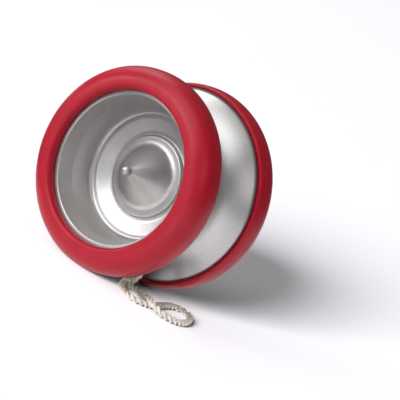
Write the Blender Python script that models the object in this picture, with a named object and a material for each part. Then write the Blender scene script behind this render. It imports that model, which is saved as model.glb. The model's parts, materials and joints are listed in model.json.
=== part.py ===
"""A ball-bearing yo-yo: two turned aluminium halves with rubber rims, on one axle, and its string.

The origin is the centre of the yo-yo. +Y is the spin axis, +Z is up, and both rims rest on a
surface below it. Sizes are in metres. The near half is on the -Y side and the far half on +Y.
"""

from math import cos, pi, radians, sin, tau

import bmesh
import bpy
from mathutils import Vector

MM = 0.001
CLEARANCE = 0.3 * MM

# Overall size
RIM_RADIUS = 28.5 * MM
HALF_WIDTH = 19.1 * MM
RIM_SEGMENTS = 48
SMALL_SEGMENTS = 28

# Rubber rim ring: a rounded section about this centre, fuller towards the string gap
RING_CENTRE_DEPTH = 13.44 * MM
RING_CENTRE_RADIUS = 23.3 * MM
RING_REAR_WIDTH = 4.95 * MM
RING_REAR_EXPONENT = 3.6
RING_FRONT_EXPONENT = 1.9
RING_INNER_DEPTH = 10.2 * MM
RING_ARC_POINTS = 9
RING_SIDE_DEPTH = 9.7 * MM
RING_SIDE_RADIUS = 27.4 * MM
RING_FRONT_OUTER_RADIUS = 23.9 * MM
RING_FRONT_INNER_RADIUS = 22.7 * MM
RING_OPENING_RADIUS = 21.45 * MM
RING_OPENING_DEPTH = 16.9 * MM
RING_OPENING_EXPONENT = 2.3
RING_OPENING_POINTS = 5

# Turned aluminium half: depths are measured from the middle plane of the yo-yo
GAP_DEPTH = 2.1 * MM
SEAT_RADIUS = RING_CENTRE_RADIUS - 1.8 * MM
SHOULDER_DEPTH = RING_INNER_DEPTH - CLEARANCE
FLARE_EDGE_RADIUS = 27.06 * MM
FLARE_START_RADIUS = 14.0 * MM
FLARE_POWER = 2.4
FLARE_POINTS = 6
LIP_DEPTH = 16.4 * MM
LIP_INNER_RADIUS = 20.3 * MM
LIP_CORNER = 0.2 * MM
CUP_WALL_BEND_DEPTH = 11.0 * MM
CUP_WALL_RADIUS = 19.5 * MM
CUP_FOOT_RADIUS = 17.7 * MM
RIDGE_DEPTH = 4.3 * MM
RIDGE_RADIUS = 16.1 * MM
GROOVE_DEPTH = 2.9 * MM
GROOVE_RADIUS = 11.9 * MM
BOSS_DEPTH = 3.9 * MM
BOSS_RADIUS = 11.1 * MM
CONE_BASE_RADIUS = 9.4 * MM
CONE_NECK_RADIUS = 1.15 * MM
CONE_TIP_DEPTH = 14.9 * MM
CONE_NOSE_RADIUS = 1.4 * MM

# Ball bearing, axle and response pads
BEARING_HALF_WIDTH = 2.38 * MM
BEARING_OUTER_RADIUS = 6.35 * MM
BEARING_BORE_RADIUS = 3.175 * MM
BALL_RADIUS = 0.794 * MM
BALL_PITCH_RADIUS = 4.75 * MM
BALL_COUNT = 8
INNER_RACE_STEP_RADIUS = 4.2 * MM
INNER_RACE_SHOULDER_RADIUS = 4.25 * MM
INNER_RACE_GROOVE_RADIUS = 3.8 * MM
OUTER_RACE_STEP_RADIUS = 5.75 * MM
OUTER_RACE_SHOULDER_RADIUS = 5.25 * MM
OUTER_RACE_GROOVE_RADIUS = 5.7 * MM
RACE_STEP_DEPTH = 1.75 * MM
RACE_GROOVE_HALF_WIDTH = 0.75 * MM
RACE_GROOVE_FLAT = 0.45 * MM
SHIELD_DEPTH = 1.9 * MM
SHIELD_THICKNESS = 0.12 * MM
SHIELD_INNER_RADIUS = 4.55 * MM
SHIELD_OUTER_RADIUS = 5.5 * MM
SNAP_RING_DEPTH = 2.15 * MM
SNAP_RING_THICKNESS = 0.15 * MM
SNAP_RING_INNER_RADIUS = 5.15 * MM
SNAP_RING_OUTER_RADIUS = 5.6 * MM
SNAP_RING_OPENING = radians(28)
SNAP_RING_STEPS = 20
CAGE_INNER_RADIUS = 4.45 * MM
CAGE_OUTER_RADIUS = 5.05 * MM
CAGE_TOP = 1.25 * MM
CAGE_RAIL = 0.98 * MM
CAGE_PRONG = -0.35 * MM
CAGE_STEPS_PER_BALL = 6
AXLE_RADIUS = 2.0 * MM
AXLE_HALF_LENGTH = 9.2 * MM
AXLE_CHAMFER = 0.4 * MM
AXLE_PLAY = 0.15 * MM
HEX_SOCKET_RADIUS = 1.15 * MM
HEX_SOCKET_DEPTH = 2.0 * MM
POST_RADIUS = 3.0 * MM
POST_END_DEPTH = 0.3 * MM
POST_SHOULDER_RADIUS = 3.9 * MM
POST_SHOULDER_DEPTH = 2.55 * MM
BEARING_SEAT_DEPTH = 2.78 * MM
PAD_INNER_RADIUS = 7.9 * MM
PAD_OUTER_RADIUS = 9.5 * MM
PAD_THICKNESS = 0.7 * MM
PAD_SINK = 0.1 * MM
PAD_SIDE_PLAY = 0.2 * MM

# Cotton string
STRING_DIAMETER = 1.6 * MM
WINDING_INNER_RADIUS = BEARING_OUTER_RADIUS + CLEARANCE
WINDING_OUTER_RADIUS = 13.5 * MM
WINDING_HALF_WIDTH = 1.85 * MM
WINDING_CROWN = 0.5 * MM
KNOT_CENTRE = Vector((0.0102, -0.0011, -0.02685))
KNOT_RADIUS = 1.6 * MM

# The strand leaves the winding and hangs down the gap to the knot.
STRAND_ROUTE = [
    (0.0147, 0.0000, -0.0013),
    (0.0140, 0.0000, -0.0070),
    (0.0132, 0.0000, -0.0130),
    (0.0124, 0.0001, -0.0190),
    (0.0116, 0.0004, -0.0232),
    (0.0109, 0.0006, -0.0255),
]

# The finger loop starts and ends at the knot and passes over itself once.
LOOP_ROUTE = [
    (0.0104, -0.0032, -0.0274),
    (0.0123, -0.0056, -0.0276),
    (0.0143, -0.0076, -0.0277),
    (0.0166, -0.0092, -0.0277),
    (0.0189, -0.0097, -0.0277),
    (0.0208, -0.0088, -0.0277),
    (0.0218, -0.0066, -0.0277),
    (0.0220, -0.0036, -0.0277),
    (0.0213, 0.0004, -0.0277),
    (0.0202, 0.0048, -0.0277),
    (0.0195, 0.0088, -0.0277),
    (0.0201, 0.0119, -0.0277),
    (0.0219, 0.0137, -0.0277),
    (0.0242, 0.0129, -0.0277),
    (0.0264, 0.0102, -0.0277),
    (0.0284, 0.0065, -0.0277),
    (0.0297, 0.0026, -0.0277),
    (0.0297, -0.0013, -0.0276),
    (0.0284, -0.0044, -0.0272),
    (0.0262, -0.0060, -0.0266),
    (0.0236, -0.0060, -0.0261),
    (0.0210, -0.0047, -0.0261),
    (0.0182, -0.0030, -0.0268),
    (0.0154, -0.0012, -0.0273),
    (0.0123, -0.0005, -0.0274),
]
ROUTE_STEP = 2.2 * STRING_DIAMETER


def clear_scene():
    """Remove whatever the file held before."""
    for item in list(bpy.data.objects):
        bpy.data.objects.remove(item, do_unlink=True)


def make_material(name, colour, roughness, metallic):
    """A Principled material with one colour."""
    material = bpy.data.materials.new(name)
    material.use_nodes = True
    shader = material.node_tree.nodes["Principled BSDF"]
    shader.inputs["Base Color"].default_value = (*colour, 1.0)
    shader.inputs["Roughness"].default_value = roughness
    shader.inputs["Metallic"].default_value = metallic
    return material


def make_empty(name):
    """A body of the yo-yo, with its origin on the spin axis."""
    empty = bpy.data.objects.new(name, None)
    bpy.context.collection.objects.link(empty)
    return empty


def place(mesh, name, material, parent, side=1):
    """Put a mesh, made about its own Z axis, on the spin axis. Side -1 is near and 1 is far."""
    piece = bpy.data.objects.new(name, mesh)
    piece.parent = parent
    piece.rotation_euler = (-side * pi / 2, 0.0, 0.0)
    if not mesh.materials:
        mesh.materials.append(material)
    bpy.context.collection.objects.link(piece)
    return piece


def finish_mesh(shape, name):
    """Turn a bmesh into a smooth mesh with its faces out and its corners sharp."""
    bmesh.ops.recalc_face_normals(shape, faces=shape.faces)
    mesh = bpy.data.meshes.new(name)
    shape.to_mesh(mesh)
    shape.free()
    mesh.shade_smooth()
    mesh.set_sharp_from_angle(angle=radians(35))
    return mesh


def turn_profile(name, profile, segments):
    """Turn (depth, radius) points about Z. A profile that doesn't end on the axis is a closed loop.

    The flats touch the true circle, so a flat faces straight down, up and to each side.
    """
    shape = bmesh.new()
    stretch = 1.0 / cos(pi / segments)
    rings = []
    for depth, radius in profile:
        if radius == 0.0:
            rings.append([shape.verts.new((0.0, 0.0, depth))])
            continue
        ring = []
        for index in range(segments):
            angle = (index + 0.5) * tau / segments
            across = radius * stretch
            ring.append(shape.verts.new((across * cos(angle), across * sin(angle), depth)))
        rings.append(ring)
    on_axis = profile[0][1] == 0.0
    pairs = list(zip(rings, rings[1:]))
    if not on_axis:
        pairs.append((rings[-1], rings[0]))
    for first, second in pairs:
        for index in range(segments):
            after = (index + 1) % segments
            corners = [first[index % len(first)], first[after % len(first)]]
            corners += [second[after % len(second)], second[index % len(second)]]
            shape.faces.new(list(dict.fromkeys(corners)))
    return finish_mesh(shape, name)


def ring_arc():
    """The ring's rounded outside as (depth, radius) points, from its rear corner to its front."""
    height = RIM_RADIUS - RING_CENTRE_RADIUS
    front_width = HALF_WIDTH - RING_CENTRE_DEPTH
    start = radians(132)
    end = radians(20)
    points = []
    for index in range(RING_ARC_POINTS):
        angle = start + (end - start) * index / (RING_ARC_POINTS - 1)
        across = cos(angle)
        if across < 0.0:
            power = 2.0 / RING_REAR_EXPONENT
            depth = RING_CENTRE_DEPTH - abs(across) ** power * RING_REAR_WIDTH
        else:
            power = 2.0 / RING_FRONT_EXPONENT
            depth = RING_CENTRE_DEPTH + across ** power * front_width
        points.append((max(depth, RING_SIDE_DEPTH), RING_CENTRE_RADIUS + sin(angle) ** power * height))
    return points


def ring_section():
    """The rubber ring's section: a flat seat, a rounded outside and a rounded opening."""
    inner = SEAT_RADIUS + CLEARANCE
    lip_face = LIP_DEPTH + CLEARANCE
    seat = [(RING_INNER_DEPTH, inner), (RING_INNER_DEPTH, RING_SIDE_RADIUS)]
    crown = [(HALF_WIDTH, RING_FRONT_OUTER_RADIUS), (HALF_WIDTH, RING_FRONT_INNER_RADIUS)]
    opening = []
    power = 2.0 / RING_OPENING_EXPONENT
    for index in range(1, RING_OPENING_POINTS + 1):
        angle = pi / 2 * index / RING_OPENING_POINTS
        depth = RING_OPENING_DEPTH + cos(angle) ** power * (HALF_WIDTH - RING_OPENING_DEPTH)
        narrowing = sin(angle) ** power * (RING_FRONT_INNER_RADIUS - RING_OPENING_RADIUS)
        opening.append((depth, RING_FRONT_INNER_RADIUS - narrowing))
    overhang = [(lip_face, RING_OPENING_RADIUS), (lip_face, inner)]
    return seat + ring_arc() + crown + opening + overhang


def flare_points():
    """The string face from the flare's edge in to its flat middle, as a power curve."""
    points = []
    for index in range(FLARE_POINTS):
        share = 1.0 - index / FLARE_POINTS
        radius = FLARE_START_RADIUS + (FLARE_EDGE_RADIUS - FLARE_START_RADIUS) * share
        rise = (SHOULDER_DEPTH - LIP_CORNER - GAP_DEPTH) * share ** FLARE_POWER
        points.append((GAP_DEPTH + rise, radius))
    return points


def half_section():
    """One half from the cone's tip over the cup, the rim and the string face to the axle's bore."""
    cone = [
        (CONE_TIP_DEPTH, 0.0),
        (CONE_TIP_DEPTH - 0.25 * MM, 0.8 * MM),
        (CONE_TIP_DEPTH - CONE_NOSE_RADIUS, CONE_NOSE_RADIUS),
        (CONE_TIP_DEPTH - 2.3 * MM, CONE_NECK_RADIUS),
        (BOSS_DEPTH + 1.3 * MM, CONE_BASE_RADIUS - 1.75 * MM),
        (BOSS_DEPTH + 0.35 * MM, CONE_BASE_RADIUS - 0.85 * MM),
        (BOSS_DEPTH, CONE_BASE_RADIUS),
    ]
    cup_floor = [
        (BOSS_DEPTH, BOSS_RADIUS - 0.3 * MM),
        (BOSS_DEPTH - 0.3 * MM, BOSS_RADIUS),
        (GROOVE_DEPTH, BOSS_RADIUS + 0.2 * MM),
        (GROOVE_DEPTH, GROOVE_RADIUS),
        (RIDGE_DEPTH, RIDGE_RADIUS),
        (RIDGE_DEPTH, CUP_FOOT_RADIUS - 0.6 * MM),
        (RIDGE_DEPTH + 0.5 * MM, CUP_FOOT_RADIUS),
    ]
    rim = [
        (CUP_WALL_BEND_DEPTH, CUP_WALL_RADIUS),
        (LIP_DEPTH - LIP_CORNER, LIP_INNER_RADIUS),
        (LIP_DEPTH, LIP_INNER_RADIUS + LIP_CORNER),
        (LIP_DEPTH, SEAT_RADIUS - LIP_CORNER),
        (LIP_DEPTH - LIP_CORNER, SEAT_RADIUS),
        (SHOULDER_DEPTH, SEAT_RADIUS),
        (SHOULDER_DEPTH, FLARE_EDGE_RADIUS - LIP_CORNER),
    ]
    recess_depth = GAP_DEPTH + PAD_THICKNESS + CLEARANCE
    recess_outer = PAD_OUTER_RADIUS + PAD_SIDE_PLAY
    recess_inner = PAD_INNER_RADIUS - PAD_SIDE_PLAY
    string_face = flare_points() + [
        (GAP_DEPTH, FLARE_START_RADIUS),
        (GAP_DEPTH, recess_outer),
        (recess_depth, recess_outer),
        (recess_depth, recess_inner),
        (GAP_DEPTH, recess_inner),
        (GAP_DEPTH, BEARING_OUTER_RADIUS + CLEARANCE),
    ]
    hub = [
        (BEARING_SEAT_DEPTH, BEARING_OUTER_RADIUS + CLEARANCE),
        (BEARING_SEAT_DEPTH, POST_SHOULDER_RADIUS + 0.1 * MM),
        (POST_SHOULDER_DEPTH, POST_SHOULDER_RADIUS),
        (POST_SHOULDER_DEPTH, POST_RADIUS),
        (POST_END_DEPTH, POST_RADIUS),
        (POST_END_DEPTH, AXLE_RADIUS + AXLE_PLAY),
        (AXLE_HALF_LENGTH + CLEARANCE, AXLE_RADIUS + AXLE_PLAY),
        (AXLE_HALF_LENGTH + CLEARANCE, 0.0),
    ]
    return cone + cup_floor + rim + string_face + hub


def pad_section():
    """A flat silicone ring, sunk in the string face."""
    top = GAP_DEPTH + PAD_SINK
    bottom = GAP_DEPTH + PAD_THICKNESS
    return [
        (bottom, PAD_INNER_RADIUS),
        (top, PAD_INNER_RADIUS),
        (top, PAD_OUTER_RADIUS),
        (bottom, PAD_OUTER_RADIUS),
    ]


def race_section(wall_radius, step_radius, shoulder_radius, groove_radius):
    """A bearing race: a plain wall on one side and the balls' groove on the other."""
    end = BEARING_HALF_WIDTH
    step = RACE_STEP_DEPTH
    wide = RACE_GROOVE_HALF_WIDTH
    flat = RACE_GROOVE_FLAT
    side = (groove_radius + shoulder_radius) / 2 + (groove_radius - shoulder_radius) / 6
    return [
        (-end, wall_radius),
        (end, wall_radius),
        (end, step_radius),
        (step, step_radius),
        (step, shoulder_radius),
        (wide, shoulder_radius),
        (flat, side),
        (0.0, groove_radius),
        (-flat, side),
        (-wide, shoulder_radius),
        (-step, shoulder_radius),
        (-step, step_radius),
        (-end, step_radius),
    ]


def axle_section():
    """A stud with chamfered ends."""
    chamfer = AXLE_CHAMFER
    end = AXLE_HALF_LENGTH
    return [
        (-end, 0.0),
        (-end, AXLE_RADIUS - chamfer),
        (chamfer - end, AXLE_RADIUS),
        (end - chamfer, AXLE_RADIUS),
        (end, AXLE_RADIUS - chamfer),
        (end, 0.0),
    ]


def winding_section():
    """The wound string's outer shape, with a rounded outside."""
    wide = WINDING_HALF_WIDTH
    outer = WINDING_OUTER_RADIUS
    crown = WINDING_CROWN
    return [
        (-wide, WINDING_INNER_RADIUS),
        (wide, WINDING_INNER_RADIUS),
        (wide, outer - 2 * crown),
        (wide / 2, outer - crown / 4),
        (0.0, outer),
        (-wide / 2, outer - crown / 4),
        (-wide, outer - 2 * crown),
    ]


def crown_cage_mesh():
    """A thin ring beside the balls, with a prong between each two of them."""
    steps = CAGE_STEPS_PER_BALL * BALL_COUNT
    shape = bmesh.new()
    sections = []
    for index in range(steps):
        angle = index * tau / steps
        past_ball = index % CAGE_STEPS_PER_BALL
        from_ball = min(past_ball, CAGE_STEPS_PER_BALL - past_ball)
        low = CAGE_PRONG if from_ball >= 2 else CAGE_RAIL
        corners = [
            (CAGE_INNER_RADIUS, low),
            (CAGE_OUTER_RADIUS, low),
            (CAGE_OUTER_RADIUS, CAGE_TOP),
            (CAGE_INNER_RADIUS, CAGE_TOP),
        ]
        sections.append([shape.verts.new((r * cos(angle), r * sin(angle), z)) for r, z in corners])
    for index in range(steps):
        first = sections[index]
        second = sections[(index + 1) % steps]
        for corner in range(4):
            after = (corner + 1) % 4
            shape.faces.new([first[corner], first[after], second[after], second[corner]])
    return finish_mesh(shape, "crown_cage")


def snap_ring_mesh():
    """A flat split ring."""
    inner = SNAP_RING_INNER_RADIUS
    outer = SNAP_RING_OUTER_RADIUS
    top = SNAP_RING_DEPTH + SNAP_RING_THICKNESS
    corners = [(inner, SNAP_RING_DEPTH), (outer, SNAP_RING_DEPTH), (outer, top), (inner, top)]
    shape = bmesh.new()
    sections = []
    for index in range(SNAP_RING_STEPS + 1):
        angle = SNAP_RING_OPENING / 2 + (tau - SNAP_RING_OPENING) * index / SNAP_RING_STEPS
        sections.append([shape.verts.new((r * cos(angle), r * sin(angle), z)) for r, z in corners])
    for first, second in zip(sections, sections[1:]):
        for corner in range(4):
            after = (corner + 1) % 4
            shape.faces.new([first[corner], first[after], second[after], second[corner]])
    shape.faces.new(sections[0])
    shape.faces.new(sections[-1])
    return finish_mesh(shape, "snap_ring")


def ball_mesh():
    """One bearing ball."""
    shape = bmesh.new()
    bmesh.ops.create_icosphere(shape, subdivisions=2, radius=BALL_RADIUS)
    return finish_mesh(shape, "bearing_ball")


def smooth_route(route):
    """Even points on a smooth Catmull-Rom curve through a route's own points."""
    points = [Vector(point) for point in route]
    before = points[0] * 2 - points[1]
    after = points[-1] * 2 - points[-2]
    padded = [before, *points, after]
    fine = []
    for index in range(1, len(padded) - 2):
        p0, p1, p2, p3 = padded[index - 1:index + 3]
        for step in range(20):
            t = step / 20
            bend = (p0 * 2 - p1 * 5 + p2 * 4 - p3) * t * t
            twist = (p1 * 3 - p0 - p2 * 3 + p3) * t * t * t
            fine.append((p1 * 2 + (p2 - p0) * t + bend + twist) / 2)
    fine.append(points[-1])
    lengths = [0.0]
    for first, second in zip(fine, fine[1:]):
        lengths.append(lengths[-1] + (second - first).length)
    count = max(2, round(lengths[-1] / ROUTE_STEP))
    even = [fine[0]]
    cursor = 0
    for index in range(1, count):
        wanted = lengths[-1] * index / count
        while lengths[cursor + 1] < wanted:
            cursor += 1
        share = (wanted - lengths[cursor]) / (lengths[cursor + 1] - lengths[cursor])
        even.append(fine[cursor].lerp(fine[cursor + 1], share))
    even.append(fine[-1])
    return even


def make_string(name, route, material, parent):
    """A stretch of string as a round tube along a route."""
    points = smooth_route(route)
    curve = bpy.data.curves.new(name, "CURVE")
    curve.dimensions = "3D"
    curve.bevel_depth = STRING_DIAMETER / 2
    curve.bevel_resolution = 2
    curve.use_fill_caps = True
    spline = curve.splines.new("POLY")
    spline.points.add(len(points) - 1)
    for place_on_spline, point in zip(spline.points, points):
        place_on_spline.co = (*point, 1.0)
    curve.materials.append(material)
    string = bpy.data.objects.new(name, curve)
    string.parent = parent
    bpy.context.collection.objects.link(string)


def make_knot(material, parent):
    """The closed knot of the finger loop as a plain ball."""
    shape = bmesh.new()
    bmesh.ops.create_icosphere(shape, subdivisions=2, radius=KNOT_RADIUS)
    mesh = finish_mesh(shape, "string_knot")
    knot = place(mesh, "string_knot", material, parent)
    knot.location = KNOT_CENTRE


def cut_hex_socket(axle):
    """Cut the key's socket in the axle's near end."""
    shape = bmesh.new()
    bmesh.ops.create_cone(
        shape,
        cap_ends=True,
        segments=6,
        radius1=HEX_SOCKET_RADIUS,
        radius2=HEX_SOCKET_RADIUS,
        depth=2 * HEX_SOCKET_DEPTH,
    )
    mesh = finish_mesh(shape, "hex_socket_cutter")
    cutter = place(mesh, "hex_socket_cutter", axle.data.materials[0], axle.parent)
    cutter.location = (0.0, -AXLE_HALF_LENGTH, 0.0)
    cutter.hide_render = True
    cutter.display_type = "WIRE"
    cut = axle.modifiers.new("hex_socket", "BOOLEAN")
    cut.operation = "DIFFERENCE"
    cut.object = cutter


def make_halves(spool, aluminium, rubber, silicone):
    """Both halves with their rim rings and response pads."""
    half = turn_profile("half", half_section(), RIM_SEGMENTS)
    ring = turn_profile("rim_ring", ring_section(), RIM_SEGMENTS)
    pad = turn_profile("response_pad", pad_section(), SMALL_SEGMENTS)
    for label, side in (("near", -1), ("far", 1)):
        place(half, label + "_half", aluminium, spool, side)
        place(ring, label + "_rim_ring", rubber, spool, side)
        place(pad, label + "_response_pad", silicone, spool, side)


def make_bearing(spool, ball_set, string_body, steel, cage_steel):
    """The inner race spins with the halves, and the outer race stays with the string."""
    inner = race_section(
        BEARING_BORE_RADIUS,
        INNER_RACE_STEP_RADIUS,
        INNER_RACE_SHOULDER_RADIUS,
        INNER_RACE_GROOVE_RADIUS,
    )
    outer = race_section(
        BEARING_OUTER_RADIUS,
        OUTER_RACE_STEP_RADIUS,
        OUTER_RACE_SHOULDER_RADIUS,
        OUTER_RACE_GROOVE_RADIUS,
    )
    inner_mesh = turn_profile("bearing_inner_race", inner, SMALL_SEGMENTS)
    outer_mesh = turn_profile("bearing_outer_race", outer, SMALL_SEGMENTS)
    place(inner_mesh, "bearing_inner_race", steel, spool)
    place(outer_mesh, "bearing_outer_race", steel, string_body)
    shield_section = [
        (SHIELD_DEPTH, SHIELD_INNER_RADIUS),
        (SHIELD_DEPTH, SHIELD_OUTER_RADIUS),
        (SHIELD_DEPTH + SHIELD_THICKNESS, SHIELD_OUTER_RADIUS),
        (SHIELD_DEPTH + SHIELD_THICKNESS, SHIELD_INNER_RADIUS),
    ]
    shield = turn_profile("bearing_shield", shield_section, SMALL_SEGMENTS)
    snap_ring = snap_ring_mesh()
    for label, side in (("near", -1), ("far", 1)):
        place(shield, label + "_bearing_shield", steel, string_body, side)
        place(snap_ring, label + "_snap_ring", steel, string_body, side)
    ball = ball_mesh()
    for index in range(BALL_COUNT):
        piece = place(ball, f"bearing_ball_{index + 1}", steel, ball_set)
        angle = index * tau / BALL_COUNT
        piece.location = (BALL_PITCH_RADIUS * cos(angle), 0.0, BALL_PITCH_RADIUS * sin(angle))
    place(crown_cage_mesh(), "bearing_cage", cage_steel, ball_set)


def make_axle(spool, steel):
    """The stud that joins the halves."""
    axle = place(turn_profile("axle", axle_section(), SMALL_SEGMENTS), "axle", steel, spool)
    cut_hex_socket(axle)


def make_all_string(string_body, cotton):
    """The winding, the strand down to the floor, the knot and the finger loop."""
    winding = turn_profile("string_winding", winding_section(), SMALL_SEGMENTS)
    place(winding, "string_winding", cotton, string_body)
    make_string("string_strand", STRAND_ROUTE, cotton, string_body)
    make_string("string_finger_loop", LOOP_ROUTE, cotton, string_body)
    make_knot(cotton, string_body)


def main():
    clear_scene()
    aluminium = make_material("blasted_aluminium", (0.60, 0.60, 0.62), 0.38, 1.0)
    rubber = make_material("red_rubber", (0.46, 0.015, 0.03), 0.5, 0.0)
    silicone = make_material("white_silicone", (0.75, 0.75, 0.72), 0.6, 0.0)
    steel = make_material("bearing_steel", (0.55, 0.56, 0.58), 0.2, 1.0)
    cage_steel = make_material("cage_steel", (0.45, 0.43, 0.40), 0.35, 1.0)
    cotton = make_material("cotton_string", (0.72, 0.66, 0.56), 0.9, 0.0)
    spool = make_empty("spool")
    ball_set = make_empty("ball_set")
    string_body = make_empty("string_body")
    make_halves(spool, aluminium, rubber, silicone)
    make_bearing(spool, ball_set, string_body, steel, cage_steel)
    make_axle(spool, steel)
    make_all_string(string_body, cotton)


main()
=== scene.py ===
"""The looks of the ball-bearing yo-yo: fine turned metal, rubber rims and real twisted string.

Everything is in the CAD frame: metres, +Y along the spin axis, +Z up, the near half on the -Y side.
"""

import json
from math import cos, pi, radians, sin, sqrt, tau

import bmesh
import bpy
from mathutils import Matrix, Vector


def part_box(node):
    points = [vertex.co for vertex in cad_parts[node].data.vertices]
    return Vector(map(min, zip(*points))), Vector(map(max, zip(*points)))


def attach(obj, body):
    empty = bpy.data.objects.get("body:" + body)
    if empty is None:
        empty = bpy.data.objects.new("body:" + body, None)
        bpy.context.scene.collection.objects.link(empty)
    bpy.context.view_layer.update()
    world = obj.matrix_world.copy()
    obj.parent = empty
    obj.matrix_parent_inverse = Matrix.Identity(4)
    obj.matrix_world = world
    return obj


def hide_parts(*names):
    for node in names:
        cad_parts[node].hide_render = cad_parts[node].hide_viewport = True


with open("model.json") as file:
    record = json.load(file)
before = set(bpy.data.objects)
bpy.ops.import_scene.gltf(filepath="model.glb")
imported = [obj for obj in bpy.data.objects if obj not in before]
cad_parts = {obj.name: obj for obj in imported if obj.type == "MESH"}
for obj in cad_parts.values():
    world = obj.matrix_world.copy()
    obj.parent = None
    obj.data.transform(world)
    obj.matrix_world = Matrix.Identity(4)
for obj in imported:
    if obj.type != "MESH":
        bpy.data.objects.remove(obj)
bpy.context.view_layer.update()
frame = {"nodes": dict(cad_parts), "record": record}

MM = 0.001

# Height and rim size, read from the frame
RIM_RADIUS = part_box("near_rim_ring")[1][0]
FLOOR_HEIGHT = -RIM_RADIUS

# Turned aluminium half: depths are measured from the middle plane
TURN_SEGMENTS = 224
GAP_DEPTH = 2.1 * MM
SEAT_RADIUS = 21.5 * MM
SHOULDER_DEPTH = 9.9 * MM
FLARE_EDGE_RADIUS = 27.06 * MM
FLARE_START_RADIUS = 14.0 * MM
FLARE_POWER = 2.4
FLARE_STEPS = 18
FLARE_EDGE_THICKNESS = 0.2 * MM
LIP_DEPTH = 16.4 * MM
WALL_BEND_RADIUS = 19.45 * MM
BOSS_DEPTH = 3.9 * MM
CONE_TIP_DEPTH = 14.9 * MM
NOSE_RADIUS = 1.4 * MM
NOSE_TURN = radians(125)
NOSE_STEPS = 14
FILLET_STEPS = 5
FILLET_REACH = 0.45
SUPPORT_GAP = 0.12 * MM
ON_AXIS = 0.001 * MM

# Rubber rim ring: a rounded section about this centre, fuller towards the string gap
HALF_WIDTH = 19.1 * MM
RING_CENTRE_DEPTH = 13.44 * MM
RING_CENTRE_RADIUS = 23.3 * MM
RING_REAR_WIDTH = 4.95 * MM
RING_REAR_EXPONENT = 3.6
RING_FRONT_EXPONENT = 1.9
RING_SIDE_DEPTH = 9.7 * MM
RING_SIDE_RADIUS = 27.3 * MM
RING_SEAT_CLEARANCE = 0.05 * MM
RING_FACE_CLEARANCE = 0.1 * MM
RING_ARC_START = radians(132)
RING_ARC_END = radians(8)
RING_CROWN_RADIUS = 22.7 * MM
RING_OPENING_RADIUS = 21.45 * MM
RING_OPENING_DEPTH = 16.9 * MM
RING_OPENING_EXPONENT = 2.3
RING_ARC_STEPS = 40

# String: the drawn yarn is a little thicker than the CAD cord, so its route rests a little higher
PLY_RADIUS = 0.47 * MM
PLY_OFFSET = 0.48 * MM
PLY_SIDES = 8
TWIST_PITCH = 3.6 * MM
YARN_REST_HEIGHT = -27.5 * MM
CURVE_STEPS = 20
RING_STEP = 0.25 * MM
WINDING_START_RADIUS = 7.15 * MM
WINDING_END_RADIUS = 12.7 * MM
WINDING_TURNS = 14
WINDING_SWING = 1.25 * MM
WINDING_STEPS_PER_TURN = 60
WINDING_END_ANGLE = -radians(5)
TURNS_PER_LAYER = 2.8
RISING_TURNS = 0.45
KNOT_CENTRE = Vector((0.0102, -0.0011, -0.02685))
KNOT_SCALE = 0.42 * MM
KNOT_STEPS = 120

# The strand leaves the winding and hangs down the gap to the knot.
STRAND_ROUTE = [
    (0.0147, 0.0000, -0.0013),
    (0.0140, 0.0000, -0.0070),
    (0.0132, 0.0000, -0.0130),
    (0.0124, 0.0001, -0.0190),
    (0.0116, 0.0004, -0.0232),
    (0.0109, 0.0006, -0.0255),
]

# The finger loop starts and ends at the knot and passes over itself once.
LOOP_ROUTE = [
    (0.0104, -0.0032, -0.0274),
    (0.0123, -0.0056, -0.0276),
    (0.0143, -0.0076, -0.0277),
    (0.0166, -0.0092, -0.0277),
    (0.0189, -0.0097, -0.0277),
    (0.0208, -0.0088, -0.0277),
    (0.0218, -0.0066, -0.0277),
    (0.0220, -0.0036, -0.0277),
    (0.0213, 0.0004, -0.0277),
    (0.0202, 0.0048, -0.0277),
    (0.0195, 0.0088, -0.0277),
    (0.0201, 0.0119, -0.0277),
    (0.0219, 0.0137, -0.0277),
    (0.0242, 0.0129, -0.0277),
    (0.0264, 0.0102, -0.0277),
    (0.0284, 0.0065, -0.0277),
    (0.0297, 0.0026, -0.0277),
    (0.0297, -0.0013, -0.0276),
    (0.0284, -0.0044, -0.0272),
    (0.0262, -0.0060, -0.0266),
    (0.0236, -0.0060, -0.0261),
    (0.0210, -0.0047, -0.0261),
    (0.0182, -0.0030, -0.0268),
    (0.0154, -0.0012, -0.0273),
    (0.0123, -0.0005, -0.0274),
]

# Camera
CAMERA_DISTANCE = 0.89123
CAMERA_AIM = Vector((0.01138, 0.00759, 0.00127))
CAMERA_AZIMUTH = radians(32.8)
CAMERA_ELEVATION = radians(10.0)
CAMERA_ROLL = radians(30.5)
CAMERA_LENS = 296.25
CAMERA_SENSOR = 36.0

# Lights
SOFTBOX_DISTANCE = 2.0
FLOOR_LIGHT_DIRECTION = Vector((0.26, -0.93, 0.27))
FLOOR_LIGHT_SPREAD = radians(17)
FLOOR_LIGHT_STRENGTH = 34.0
WORLD_STRENGTH = 0.15

# Floor, and a dark card beside the frame, which only reflections see
FLOOR_HALF_SIZE = 6.0
CARD_SIZE = 0.7
CARD_DIRECTION = Vector((-0.74, -0.68, 0.0))
CARD_START = 0.045
CARD_LIFT = 0.5 * MM

# Sockets of the colour Mix node, which shares its socket names between data types
MIX_FACTOR = 0
MIX_FIRST_COLOUR = 6
MIX_SECOND_COLOUR = 7
MIX_COLOUR_OUT = 2


# ---------------------------------------------------------------- camera

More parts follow.
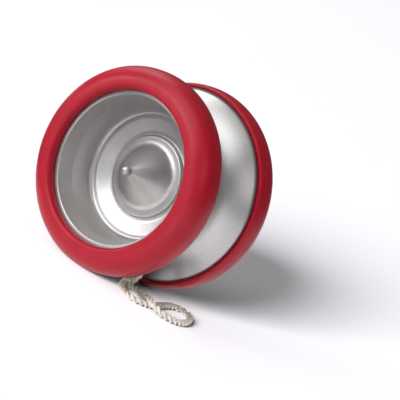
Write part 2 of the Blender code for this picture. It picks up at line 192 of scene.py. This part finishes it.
def make_camera():
    """A long lens, rolled so that world up leans to the image's right."""
    across = Vector((cos(CAMERA_AZIMUTH), sin(CAMERA_AZIMUTH), 0.0))
    back = Vector((
        sin(CAMERA_AZIMUTH) * cos(CAMERA_ELEVATION),
        -cos(CAMERA_AZIMUTH) * cos(CAMERA_ELEVATION),
        sin(CAMERA_ELEVATION),
    ))
    above = back.cross(across)
    right = across * cos(CAMERA_ROLL) + above * sin(CAMERA_ROLL)
    up = above * cos(CAMERA_ROLL) - across * sin(CAMERA_ROLL)
    data = bpy.data.cameras.new("camera")
    data.lens = CAMERA_LENS
    data.sensor_width = CAMERA_SENSOR
    data.clip_start = 0.01
    data.clip_end = 20.0
    camera = bpy.data.objects.new("camera", data)
    turn = Matrix((right, up, back)).transposed().to_4x4()
    camera.matrix_world = Matrix.Translation(CAMERA_AIM + back * CAMERA_DISTANCE) @ turn
    bpy.context.collection.objects.link(camera)
    bpy.context.scene.camera = camera
    return right, up, back


# ---------------------------------------------------------------- string

def smooth_points(route, step):
    """Even points on a Catmull-Rom curve through a route's own points."""
    points = [Vector(point) for point in route]
    padded = [points[0] * 2 - points[1], *points, points[-1] * 2 - points[-2]]
    fine = []
    for index in range(1, len(padded) - 2):
        p0, p1, p2, p3 = padded[index - 1:index + 3]
        for part in range(CURVE_STEPS):
            t = part / CURVE_STEPS
            bend = (p0 * 2 - p1 * 5 + p2 * 4 - p3) * t * t
            twist = (p1 * 3 - p0 - p2 * 3 + p3) * t * t * t
            fine.append((p1 * 2 + (p2 - p0) * t + bend + twist) / 2)
    fine.append(points[-1])
    return even_points(fine, step)


def even_points(fine, step):
    """Points a step apart along a polyline."""
    lengths = [0.0]
    for first, second in zip(fine, fine[1:]):
        lengths.append(lengths[-1] + (second - first).length)
    count = max(2, round(lengths[-1] / step))
    even = [fine[0].copy()]
    cursor = 0
    for index in range(1, count):
        wanted = lengths[-1] * index / count
        while lengths[cursor + 1] < wanted:
            cursor += 1
        share = (wanted - lengths[cursor]) / (lengths[cursor + 1] - lengths[cursor])
        even.append(fine[cursor].lerp(fine[cursor + 1], share))
    even.append(fine[-1].copy())
    return even


def winding_points():
    """The turns round the bearing, from the outer race out to the strand's first point."""
    start = Vector(STRAND_ROUTE[0])
    steps = WINDING_TURNS * WINDING_STEPS_PER_TURN
    lift_share = RISING_TURNS / WINDING_TURNS
    end_radius = sqrt(start.x ** 2 + start.z ** 2)
    points = []
    for index in range(steps):
        share = index / steps
        angle = WINDING_END_ANGLE + (1.0 - share) * WINDING_TURNS * tau
        radius = WINDING_START_RADIUS + (WINDING_END_RADIUS - WINDING_START_RADIUS) * share
        layer = share * WINDING_TURNS / TURNS_PER_LAYER
        swing = abs((layer % 2.0) - 1.0) * 2.0 - 1.0
        lift = max(0.0, (share - 1.0 + lift_share) / lift_share)
        lift = lift * lift * (3.0 - 2.0 * lift)
        radius += (end_radius - radius) * lift
        across = swing * WINDING_SWING * (1.0 - lift)
        points.append(Vector((radius * cos(angle), across, radius * sin(angle))))
    return points


def carried_frames(points):
    """A direction across the line at each point, carried along without twisting."""
    across = []
    along = (points[1] - points[0]).normalized()
    side = along.orthogonal().normalized()
    for index, point in enumerate(points):
        ahead = points[min(index + 1, len(points) - 1)]
        behind = points[max(index - 1, 0)]
        along = (ahead - behind).normalized()
        side = (side - along * side.dot(along)).normalized()
        across.append((side.copy(), along.cross(side)))
    return across


def add_ply(shape, points, frames, phase, closed):
    """One yarn of the twisted string as a tube that winds round the line."""
    rings = []
    length = 0.0
    for index, point in enumerate(points):
        if index:
            length += (point - points[index - 1]).length
        side, other = frames[index]
        turn = phase + length / TWIST_PITCH * tau
        out = side * cos(turn) + other * sin(turn)
        centre = point + out * PLY_OFFSET
        ring = []
        for corner in range(PLY_SIDES):
            angle = corner * tau / PLY_SIDES
            offset = side * cos(angle) + other * sin(angle)
            ring.append(shape.verts.new(centre + offset * PLY_RADIUS))
        rings.append(ring)
    pairs = list(zip(rings, rings[1:]))
    if closed:
        pairs.append((rings[-1], rings[0]))
    for first, second in pairs:
        for corner in range(PLY_SIDES):
            after = (corner + 1) % PLY_SIDES
            shape.faces.new((first[corner], first[after], second[after], second[corner]))
    if not closed:
        shape.faces.new(rings[0][::-1])
        shape.faces.new(rings[-1])


def make_twisted_string(name, points, material, closed=False):
    """Two yarns twisted together along a line."""
    shape = bmesh.new()
    frames = carried_frames(points)
    for phase in (0.0, pi):
        add_ply(shape, points, frames, phase, closed)
    return add_mesh(name, shape, material)


def rested(route):
    """A route with no point lower than the drawn yarn can lie."""
    return [(x, y, max(z, YARN_REST_HEIGHT)) for x, y, z in route]


def make_string(material):
    """The whole string as one cord, and its knot."""
    route = [Vector(point) for point in STRAND_ROUTE]
    tail = smooth_points([*STRAND_ROUTE, KNOT_CENTRE, *rested(LOOP_ROUTE), KNOT_CENTRE], RING_STEP)
    points = even_points(winding_points() + [route[0]], RING_STEP)[:-1] + tail
    string = make_twisted_string("cotton_string", points, material)
    knot_line = []
    for index in range(KNOT_STEPS):
        t = index * tau / KNOT_STEPS
        bend = Vector((sin(t) + 2 * sin(2 * t), cos(t) - 2 * cos(2 * t), -1.6 * sin(3 * t)))
        knot_line.append(KNOT_CENTRE + bend * KNOT_SCALE)
    knot = make_twisted_string("loop_knot", knot_line, material, closed=True)
    for piece in (string, knot):
        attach(piece, "string_and_outer_race")
    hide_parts("string_winding", "string_strand", "string_finger_loop")
    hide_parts("string_knot")


# ---------------------------------------------------------------- turned pieces

def add_mesh(name, shape, material):
    """Link a bmesh as a smooth object with its faces out."""
    bmesh.ops.recalc_face_normals(shape, faces=shape.faces)
    mesh = bpy.data.meshes.new(name)
    shape.to_mesh(mesh)
    shape.free()
    mesh.shade_smooth()
    mesh.materials.append(material)
    piece = bpy.data.objects.new(name, mesh)
    bpy.context.collection.objects.link(piece)
    return piece


def fillet_profile(corners):
    """Round each (depth, radius, fillet) corner, with support points beside each arc."""
    points = []
    count = len(corners)
    for index, (depth, radius, fillet) in enumerate(corners):
        corner = Vector((depth, radius))
        if fillet == 0.0 or index in (0, count - 1):
            points.append(corner)
            continue
        before = Vector(corners[index - 1][:2]) - corner
        after = Vector(corners[index + 1][:2]) - corner
        reach = min(fillet, before.length * FILLET_REACH, after.length * FILLET_REACH)
        start = corner + before.normalized() * reach
        end = corner + after.normalized() * reach
        if before.length > 2 * (reach + SUPPORT_GAP):
            points.append(corner + before.normalized() * (reach + SUPPORT_GAP))
        for step in range(FILLET_STEPS + 1):
            t = step / FILLET_STEPS
            points.append(start * (1 - t) ** 2 + corner * 2 * t * (1 - t) + end * t * t)
        if after.length > 2 * (reach + SUPPORT_GAP):
            points.append(corner + after.normalized() * (reach + SUPPORT_GAP))
    return points


def turn_profile(name, points, side, material, closed):
    """Turn (depth, radius) points about the spin axis."""
    shape = bmesh.new()
    rings = []
    for depth, radius in points:
        if radius < ON_AXIS:
            rings.append([shape.verts.new((0.0, side * depth, 0.0))])
            continue
        ring = []
        for index in range(TURN_SEGMENTS):
            angle = index * tau / TURN_SEGMENTS
            ring.append(shape.verts.new((radius * cos(angle), side * depth, radius * sin(angle))))
        rings.append(ring)
    pairs = list(zip(rings, rings[1:]))
    if closed:
        pairs.append((rings[-1], rings[0]))
    for first, second in pairs:
        for index in range(TURN_SEGMENTS):
            after = (index + 1) % TURN_SEGMENTS
            corners = [first[index % len(first)], first[after % len(first)]]
            corners += [second[after % len(second)], second[index % len(second)]]
            shape.faces.new(list(dict.fromkeys(corners)))
    return add_mesh(name, shape, material)


def nose_points():
    """The small ball on the cone's tip, from the axis to where it meets the cone's neck."""
    centre = CONE_TIP_DEPTH - NOSE_RADIUS
    points = []
    for index in range(NOSE_STEPS + 1):
        angle = NOSE_TURN * index / NOSE_STEPS
        points.append((centre + NOSE_RADIUS * cos(angle), NOSE_RADIUS * sin(angle), 0.0))
    return points


def flare_curve():
    """The string face from the flare's edge in to its flat middle."""
    points = []
    for index in range(FLARE_STEPS):
        share = 1.0 - index / FLARE_STEPS
        radius = FLARE_START_RADIUS + (FLARE_EDGE_RADIUS - FLARE_START_RADIUS) * share
        rise = (SHOULDER_DEPTH - FLARE_EDGE_THICKNESS - GAP_DEPTH) * share ** FLARE_POWER
        points.append((GAP_DEPTH + rise, radius, 0.0))
    return points


def half_profile():
    """One half from the cone's tip over the cup, rim and string face to the axle's bore."""
    millimetres = [
        (12.4, 1.3, 0.4),
        (BOSS_DEPTH / MM, 8.8, 1.3),
        (BOSS_DEPTH / MM, 11.1, 0.4),
        (2.75, 11.5, 0.3),
        (2.85, 12.4, 0.8),
        (4.3, 16.1, 0.35),
        (4.3, 17.2, 0.6),
        (5.0, 17.75, 0.6),
        (11.0, WALL_BEND_RADIUS / MM, 0.12),
        (16.1, 20.3, 0.2),
        (LIP_DEPTH / MM, 20.55, 0.15),
        (LIP_DEPTH / MM, SEAT_RADIUS / MM, 0.15),
        (SHOULDER_DEPTH / MM, SEAT_RADIUS / MM, 0.1),
        (SHOULDER_DEPTH / MM, 26.9, 0.15),
    ]
    corners = nose_points() + [(d * MM, r * MM, f * MM) for d, r, f in millimetres]
    corners += flare_curve()
    hub = [
        (2.1, 14.0, 0.0),
        (2.1, 9.7, 0.15),
        (3.1, 9.7, 0.1),
        (3.1, 7.7, 0.1),
        (2.1, 7.7, 0.15),
        (2.1, 6.65, 0.1),
        (2.78, 6.65, 0.1),
        (2.78, 4.0, 0.1),
        (2.55, 3.9, 0.05),
        (2.55, 3.0, 0.1),
        (0.3, 3.0, 0.15),
        (0.3, 2.15, 0.1),
        (9.5, 2.15, 0.0),
        (9.5, 0.0, 0.0),
    ]
    corners += [(d * MM, r * MM, f * MM) for d, r, f in hub]
    return fillet_profile(corners)


def ring_profile():
    """The rubber ring's section: a flat seat, a rounded outside and a rounded opening."""
    height = RIM_RADIUS - RING_CENTRE_RADIUS
    front_width = HALF_WIDTH - RING_CENTRE_DEPTH
    inner = SEAT_RADIUS + RING_SEAT_CLEARANCE
    seat_depth = SHOULDER_DEPTH + RING_FACE_CLEARANCE
    lip_face = LIP_DEPTH + RING_FACE_CLEARANCE
    corners = [
        (seat_depth, inner, 0.0),
        (seat_depth, RING_SIDE_RADIUS, 0.1 * MM),
        (RING_SIDE_DEPTH, RING_SIDE_RADIUS, 0.15 * MM),
    ]
    for index in range(RING_ARC_STEPS + 1):
        angle = RING_ARC_START + (RING_ARC_END - RING_ARC_START) * index / RING_ARC_STEPS
        across = cos(angle)
        if across < 0.0:
            power = 2.0 / RING_REAR_EXPONENT
            depth = RING_CENTRE_DEPTH - abs(across) ** power * RING_REAR_WIDTH
        else:
            power = 2.0 / RING_FRONT_EXPONENT
            depth = RING_CENTRE_DEPTH + across ** power * front_width
        depth = max(depth, RING_SIDE_DEPTH)
        corners.append((depth, RING_CENTRE_RADIUS + sin(angle) ** power * height, 0.0))
    power = 2.0 / RING_OPENING_EXPONENT
    for index in range(RING_ARC_STEPS + 1):
        angle = radians(90) * index / RING_ARC_STEPS
        depth = RING_OPENING_DEPTH + cos(angle) ** power * (HALF_WIDTH - RING_OPENING_DEPTH)
        narrowing = sin(angle) ** power * (RING_CROWN_RADIUS - RING_OPENING_RADIUS)
        corners.append((depth, RING_CROWN_RADIUS - narrowing, 0.0))
    corners += [
        (lip_face, RING_OPENING_RADIUS, 0.0),
        (lip_face, inner, 0.0),
    ]
    return fillet_profile(corners)


def make_halves(aluminium, rubber):
    """Both halves and both rubber rings as fine turned pieces."""
    half = half_profile()
    ring = ring_profile()
    for label, side in (("near", -1), ("far", 1)):
        metal = turn_profile(label + "_turned_half", half, side, aluminium, closed=False)
        tyre = turn_profile(label + "_rubber_ring", ring, side, rubber, closed=True)
        for piece, node, slot in (
            (metal, label + "_half", "aluminium"),
            (tyre, label + "_rim_ring", "red_rubber"),
        ):
            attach(piece, "spool")
            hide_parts(node)


# ---------------------------------------------------------------- materials

def new_material(name):
    """A node material, with its tree and its main shader."""
    material = bpy.data.materials.new(name)
    material.use_nodes = True
    tree = material.node_tree
    return material, tree, tree.nodes["Principled BSDF"]


def add_node(tree, kind, **inputs):
    """A node with its inputs set by name, with _ for a space."""
    node = tree.nodes.new(kind)
    for name, value in inputs.items():
        node.inputs[name.replace("_", " ")].default_value = value
    return node


def noise_between(tree, coordinates, scale, low, high, detail=3.0):
    """Noise mapped to a range."""
    noise = add_node(tree, "ShaderNodeTexNoise", Scale=scale, Detail=detail)
    tree.links.new(coordinates, noise.inputs["Vector"])
    spread = add_node(tree, "ShaderNodeMapRange", From_Min=0.3, From_Max=0.7, To_Min=low, To_Max=high)
    tree.links.new(noise.outputs["Fac"], spread.inputs["Value"])
    return spread.outputs["Result"]


def bump_from(tree, shader, height, strength, distance):
    """Fine relief on a shader from a height value."""
    bump = add_node(tree, "ShaderNodeBump", Strength=strength, Distance=distance)
    tree.links.new(height, bump.inputs["Height"])
    tree.links.new(bump.outputs["Normal"], shader.inputs["Normal"])


def colour_between(tree, shader, factor, low, high):
    """Vary the base colour between two colours."""
    shade = tree.nodes.new("ShaderNodeMix")
    shade.data_type = "RGBA"
    shade.inputs[MIX_FIRST_COLOUR].default_value = (*low, 1.0)
    shade.inputs[MIX_SECOND_COLOUR].default_value = (*high, 1.0)
    tree.links.new(factor, shade.inputs[MIX_FACTOR])
    tree.links.new(shade.outputs[MIX_COLOUR_OUT], shader.inputs["Base Color"])


def turned_rings(tree, scale):
    """A value that changes with radius and depth only, like the marks of a lathe tool."""
    place = tree.nodes.new("ShaderNodeTexCoord")
    parts = tree.nodes.new("ShaderNodeSeparateXYZ")
    tree.links.new(place.outputs["Object"], parts.inputs["Vector"])
    flat = tree.nodes.new("ShaderNodeCombineXYZ")
    tree.links.new(parts.outputs["X"], flat.inputs["X"])
    tree.links.new(parts.outputs["Z"], flat.inputs["Y"])
    radius = tree.nodes.new("ShaderNodeVectorMath")
    radius.operation = "LENGTH"
    tree.links.new(flat.outputs["Vector"], radius.inputs[0])
    section = tree.nodes.new("ShaderNodeCombineXYZ")
    tree.links.new(radius.outputs["Value"], section.inputs["X"])
    tree.links.new(parts.outputs["Y"], section.inputs["Y"])
    noise = add_node(tree, "ShaderNodeTexNoise", Scale=scale, Detail=2.0)
    tree.links.new(section.outputs["Vector"], noise.inputs["Vector"])
    return noise.outputs["Fac"], place.outputs["Object"]


def make_aluminium():
    """Bead-blasted aluminium with the faint rings of its turning."""
    material, tree, shader = new_material("blasted_aluminium")
    shader.inputs["Metallic"].default_value = 1.0
    rings, coordinates = turned_rings(tree, 5000.0)
    rough = noise_between(tree, coordinates, 1500.0, 0.37, 0.42)
    tree.links.new(rough, shader.inputs["Roughness"])
    patches = noise_between(tree, coordinates, 1100.0, 0.0, 1.0)
    colour_between(tree, shader, patches, (0.5, 0.49, 0.485), (0.54, 0.53, 0.525))
    grain = add_node(tree, "ShaderNodeTexNoise", Scale=9000.0, Detail=2.0)
    tree.links.new(coordinates, grain.inputs["Vector"])
    both = add_node(tree, "ShaderNodeMath")
    both.operation = "ADD"
    tree.links.new(grain.outputs["Fac"], both.inputs[0])
    tree.links.new(rings, both.inputs[1])
    bump_from(tree, shader, both.outputs["Value"], 0.25, 0.02 * MM)
    return material


def make_rubber():
    """Moulded red rubber with a satin skin."""
    material, tree, shader = new_material("red_rubber")
    place = tree.nodes.new("ShaderNodeTexCoord")
    coordinates = place.outputs["Object"]
    patches = noise_between(tree, coordinates, 250.0, 0.0, 1.0)
    colour_between(tree, shader, patches, (0.32, 0.002, 0.013), (0.37, 0.003, 0.018))
    rough = noise_between(tree, coordinates, 1200.0, 0.33, 0.43)
    tree.links.new(rough, shader.inputs["Roughness"])
    shader.inputs["Specular IOR Level"].default_value = 0.3
    grain = add_node(tree, "ShaderNodeTexNoise", Scale=6000.0, Detail=3.0)
    tree.links.new(coordinates, grain.inputs["Vector"])
    bump_from(tree, shader, grain.outputs["Fac"], 0.15, 0.02 * MM)
    return material


def make_cotton():
    """Undyed cotton yarn with fine fibres."""
    material, tree, shader = new_material("cotton_yarn")
    place = tree.nodes.new("ShaderNodeTexCoord")
    coordinates = place.outputs["Object"]
    patches = noise_between(tree, coordinates, 1500.0, 0.0, 1.0)
    colour_between(tree, shader, patches, (0.74, 0.66, 0.55), (0.95, 0.90, 0.81))
    shader.inputs["Roughness"].default_value = 0.9
    shader.inputs["Sheen Weight"].default_value = 0.5
    fibres = add_node(tree, "ShaderNodeTexNoise", Scale=7000.0, Detail=4.0)
    tree.links.new(coordinates, fibres.inputs["Vector"])
    bump_from(tree, shader, fibres.outputs["Fac"], 0.7, 0.08 * MM)
    return material


def make_steel(name, colour, low, high):
    """Ground steel with fine turning marks."""
    material, tree, shader = new_material(name)
    shader.inputs["Base Color"].default_value = (*colour, 1.0)
    shader.inputs["Metallic"].default_value = 1.0
    rings, coordinates = turned_rings(tree, 9000.0)
    tree.links.new(noise_between(tree, coordinates, 2500.0, low, high), shader.inputs["Roughness"])
    bump_from(tree, shader, rings, 0.2, 0.01 * MM)
    return material


def make_silicone():
    """Matte white silicone."""
    material, tree, shader = new_material("response_silicone")
    place = tree.nodes.new("ShaderNodeTexCoord")
    shader.inputs["Base Color"].default_value = (0.78, 0.77, 0.73, 1.0)
    shader.inputs["Subsurface Weight"].default_value = 0.05
    rough = noise_between(tree, place.outputs["Object"], 1800.0, 0.5, 0.65)
    tree.links.new(rough, shader.inputs["Roughness"])
    return material


def dress_cad_nodes():
    """Give the CAD pieces that stay their finished materials."""
    bearing = make_steel("bearing_steel", (0.62, 0.62, 0.64), 0.12, 0.2)
    stamped = make_steel("stamped_steel", (0.55, 0.55, 0.56), 0.25, 0.35)
    axle = make_steel("axle_steel", (0.38, 0.38, 0.39), 0.3, 0.42)
    silicone = make_silicone()
    looks = {
        "bearing_steel": bearing,
        "shield_steel": stamped,
        "cage_steel": stamped,
        "axle_steel": axle,
        "response_silicone": silicone,
    }
    for row in frame["record"]["subparts"]:
        material = looks.get(row["material_slot"])
        if material:
            node = frame["nodes"][row["node"]]
            node.data.materials.clear()
            node.data.materials.append(material)


# ---------------------------------------------------------------- stage and light

def make_floor():
    """A plain floor under both rims. The floor light makes it look white."""
    shape = bmesh.new()
    bmesh.ops.create_grid(shape, x_segments=1, y_segments=1, size=FLOOR_HALF_SIZE)
    material, tree, shader = new_material("pale_floor")
    shader.inputs["Base Color"].default_value = (0.27, 0.263, 0.275, 1.0)
    shader.inputs["Roughness"].default_value = 0.8
    shader.inputs["Specular IOR Level"].default_value = 0.1
    floor = add_mesh("floor", shape, material)
    floor.location = (0.0, 0.0, FLOOR_HEIGHT)
    return floor


def make_card():
    """The dark card on the floor. The camera, shadows and diffuse light pass through it."""
    shape = bmesh.new()
    bmesh.ops.create_grid(shape, x_segments=1, y_segments=1, size=CARD_SIZE / 2)
    material, tree, shader = new_material("dark_card")
    shader.inputs["Base Color"].default_value = (0.16, 0.155, 0.16, 1.0)
    shader.inputs["Roughness"].default_value = 0.9
    card = add_mesh("dark_card", shape, material)
    card.location = CARD_DIRECTION.normalized() * (CARD_START + CARD_SIZE / 2)
    card.location.z = FLOOR_HEIGHT + CARD_LIFT
    card.rotation_euler.z = CARD_DIRECTION.to_track_quat("X", "Z").to_euler().z
    card.visible_camera = False
    card.visible_shadow = False
    card.visible_diffuse = False


def make_light(name, location, aim, size, power):
    """A square softbox that faces a point."""
    data = bpy.data.lights.new(name, "AREA")
    data.shape = "SQUARE"
    data.size = size
    data.energy = power
    light = bpy.data.objects.new(name, data)
    light.location = location
    light.rotation_euler = (location - aim).to_track_quat("Z", "Y").to_euler()
    bpy.context.collection.objects.link(light)
    return light


def make_floor_light(floor):
    """A low, distant light that only the floor takes, for an even white and a long soft shadow."""
    data = bpy.data.lights.new("floor_light", "SUN")
    data.energy = FLOOR_LIGHT_STRENGTH
    data.angle = FLOOR_LIGHT_SPREAD
    light = bpy.data.objects.new("floor_light", data)
    light.rotation_euler = FLOOR_LIGHT_DIRECTION.to_track_quat("Z", "Y").to_euler()
    bpy.context.collection.objects.link(light)
    receivers = bpy.data.collections.new("lit_by_floor_light")
    receivers.objects.link(floor)
    light.light_linking.receiver_collection = receivers


def make_world(strength):
    """A dim, even white surround."""
    world = bpy.data.worlds.new("studio")
    world.use_nodes = True
    background = world.node_tree.nodes["Background"]
    background.inputs["Color"].default_value = (1.0, 1.0, 1.0, 1.0)
    background.inputs["Strength"].default_value = strength
    bpy.context.scene.world = world


def make_lights(right, up, back, floor):
    """Softboxes placed along the camera's axes, a low light for the floor, and a dim surround."""

    def softbox(name, across, above, towards, size, power):
        direction = right * across + up * above + back * towards
        make_light(name, direction.normalized() * SOFTBOX_DISTANCE, Vector(), size, power)

    softbox("key", -0.5, 0.59, 0.63, 0.9, 11.5)
    softbox("upper_left", -0.77, 0.61, 0.18, 0.7, 8.0)
    softbox("front_top", -0.1, 0.80, 0.55, 1.8, 21.0)
    softbox("overhead", -0.1, 0.95, -0.3, 0.9, 7.0)
    softbox("overhead_behind", -0.1, 0.8, -0.55, 1.3, 4.0)
    softbox("upper_right", 0.5, 0.85, 0.17, 1.8, 2.0)
    softbox("right_front", 0.6, 0.15, 0.8, 1.0, 4.0)
    make_floor_light(floor)
    make_world(WORLD_STRENGTH)


def main():
    right, up, back = make_camera()
    make_string(make_cotton())
    make_halves(make_aluminium(), make_rubber())
    dress_cad_nodes()
    floor = make_floor()
    make_card()
    make_lights(right, up, back, floor)
    bpy.context.scene.view_settings.view_transform = "Standard"


main()
